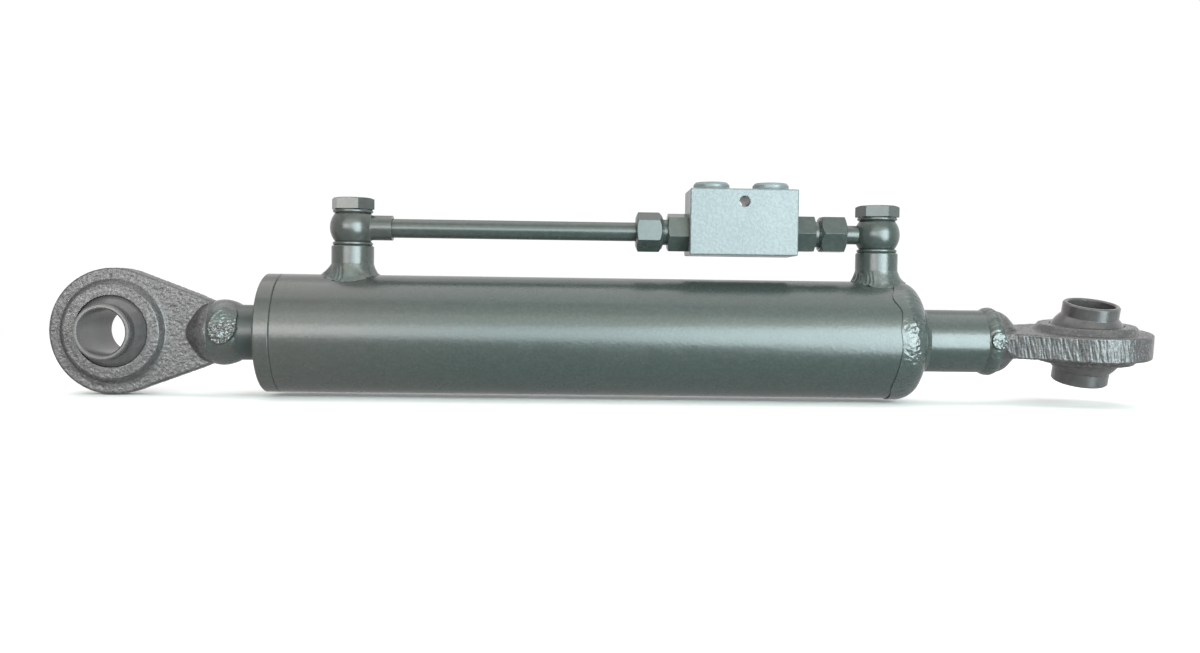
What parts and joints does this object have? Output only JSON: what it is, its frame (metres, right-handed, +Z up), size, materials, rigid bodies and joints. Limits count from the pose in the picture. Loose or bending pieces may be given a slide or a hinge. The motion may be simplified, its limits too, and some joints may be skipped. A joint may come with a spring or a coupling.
{
  "type": "hydraulic top-link cylinder",
  "caption": "Double-acting hydraulic cylinder with weld-on ball ends, banjo ports and a pilot-operated check valve block on its pressure line.",
  "frame": {"origin": "centre of the base ball, where its pin passes", "axes": "+X along the cylinder from the rod end to the base end, +Z up through the ports and the valve block, +Y away from the valve block's stamped face"},
  "size_m": [0.7, 0.0808, 0.1392],
  "materials": {
    "barrel_paint": "semi-gloss dark grey-green paint with fine orange peel",
    "weld_paint": "paint over rippled weld beads",
    "forging_paint": "paint over rough forging scale",
    "ball_paint": "smooth satin paint over a machined ball",
    "fitting_paint": "semi-gloss paint over plated fittings",
    "tube_paint": "semi-gloss paint",
    "block_paint": "semi-gloss paint with coarse orange peel",
    "plug_plastic": "painted-over plastic",
    "chromed_rod": "hard chrome, painted where it was exposed",
    "plain_steel": "machined",
    "spring_steel": "drawn wire",
    "seal_rubber": "matt",
    "guide_resin": "fabric-reinforced resin"
  },
  "bodies": {
    "barrel_assembly": {"barrel": "barrel_paint", "gland": "barrel_paint", "rod_wiper": "seal_rubber", "rod_seal": "seal_rubber", "gland_wear_ring": "guide_resin", "gland_o_ring": "seal_rubber", "base_plug": "barrel_paint", "base_weld": "weld_paint", "base_stub": "barrel_paint", "stub_weld": "weld_paint", "base_eye": "forging_paint", "base_eye_weld": "weld_paint", "rod_port_boss": "barrel_paint", "rod_port_weld": "weld_paint", "base_port_boss": "barrel_paint", "base_port_weld": "weld_paint", "rod_lower_washer": "fitting_paint", "rod_upper_washer": "fitting_paint", "base_lower_washer": "fitting_paint", "base_upper_washer": "fitting_paint", "rod_banjo": "fitting_paint", "base_banjo": "fitting_paint", "rod_banjo_bolt": "fitting_paint", "base_banjo_bolt": "fitting_paint", "valve_block": "block_paint", "left_fitting": "fitting_paint", "left_fitting_seal": "seal_rubber", "left_tube_nut": "fitting_paint", "left_cutting_ring": "plain_steel", "left_check_spring": "spring_steel", "right_fitting": "fitting_paint", "right_fitting_seal": "seal_rubber", "right_tube_nut": "fitting_paint", "right_cutting_ring": "plain_steel", "right_check_spring": "spring_steel", "long_tube": "tube_paint", "short_tube": "tube_paint"},
    "piston_seals": {"piston_seal": "seal_rubber", "front_piston_wear_ring": "guide_resin", "rear_piston_wear_ring": "guide_resin"},
    "rod_assembly": {"rod": "chromed_rod", "piston": "plain_steel", "piston_o_ring": "seal_rubber", "piston_nut": "plain_steel", "rod_eye": "forging_paint", "rod_eye_weld": "weld_paint"},
    "rod_ball_body": {"rod_ball": "ball_paint"},
    "base_ball_body": {"base_ball": "ball_paint"},
    "pilot_spool": {"pilot_piston": "plain_steel", "pilot_o_ring": "seal_rubber"},
    "left_check": {"left_check_poppet": "plain_steel"},
    "right_check": {"right_check_poppet": "plain_steel"},
    "left_plug": {"left_port_plug": "plug_plastic"},
    "right_plug": {"right_port_plug": "plug_plastic"}
  },
  "joints": [
    {"name": "rod_slide", "type": "slide", "parent": "barrel_assembly", "child": "piston_seals", "axis": [-1, 0, 0], "range_m": [0, 0.27]},
    {"name": "rod_turn", "type": "hinge", "parent": "piston_seals", "child": "rod_assembly", "pos_m": [-0.62, 0, 0], "axis": [1, 0, 0], "continuous": true},
    {"name": "rod_ball_lean", "type": "hinge", "parent": "rod_assembly", "child": "rod_ball_body", "pos_m": [-0.62, 0, 0], "axis": [1, 0, 0], "range_deg": [-16, 16]},
    {"name": "base_ball_lean", "type": "hinge", "parent": "barrel_assembly", "child": "base_ball_body", "pos_m": [0, 0, 0], "axis": [1, 0, 0], "range_deg": [-23.4, 8.4]},
    {"name": "pilot_slide", "type": "slide", "parent": "barrel_assembly", "child": "pilot_spool", "axis": [1, 0, 0], "range_m": [0, 0.003]},
    {"name": "right_check_lift", "type": "slide", "parent": "barrel_assembly", "child": "right_check", "axis": [1, 0, 0], "range_m": [0, 0.003], "stiffness_N_per_m": 1000, "springref_m": -0.002, "deforming": ["right_check_spring"]},
    {"name": "left_check_lift", "type": "slide", "parent": "barrel_assembly", "child": "left_check", "axis": [-1, 0, 0], "range_m": [0, 0.003], "stiffness_N_per_m": 1000, "springref_m": -0.002, "deforming": ["left_check_spring"]},
    {"name": "left_plug_pull", "type": "slide", "parent": "barrel_assembly", "child": "left_plug", "axis": [0, 0, 1], "range_m": [0, 0.02]},
    {"name": "right_plug_pull", "type": "slide", "parent": "barrel_assembly", "child": "right_plug", "axis": [0, 0, 1], "range_m": [0, 0.02]}
  ],
  "couplings": [
    {"joint": "right_check_lift", "follows": "pilot_slide", "ratio": 1},
    {"joint": "left_check_lift", "follows": "pilot_slide", "ratio": 1}
  ]
}
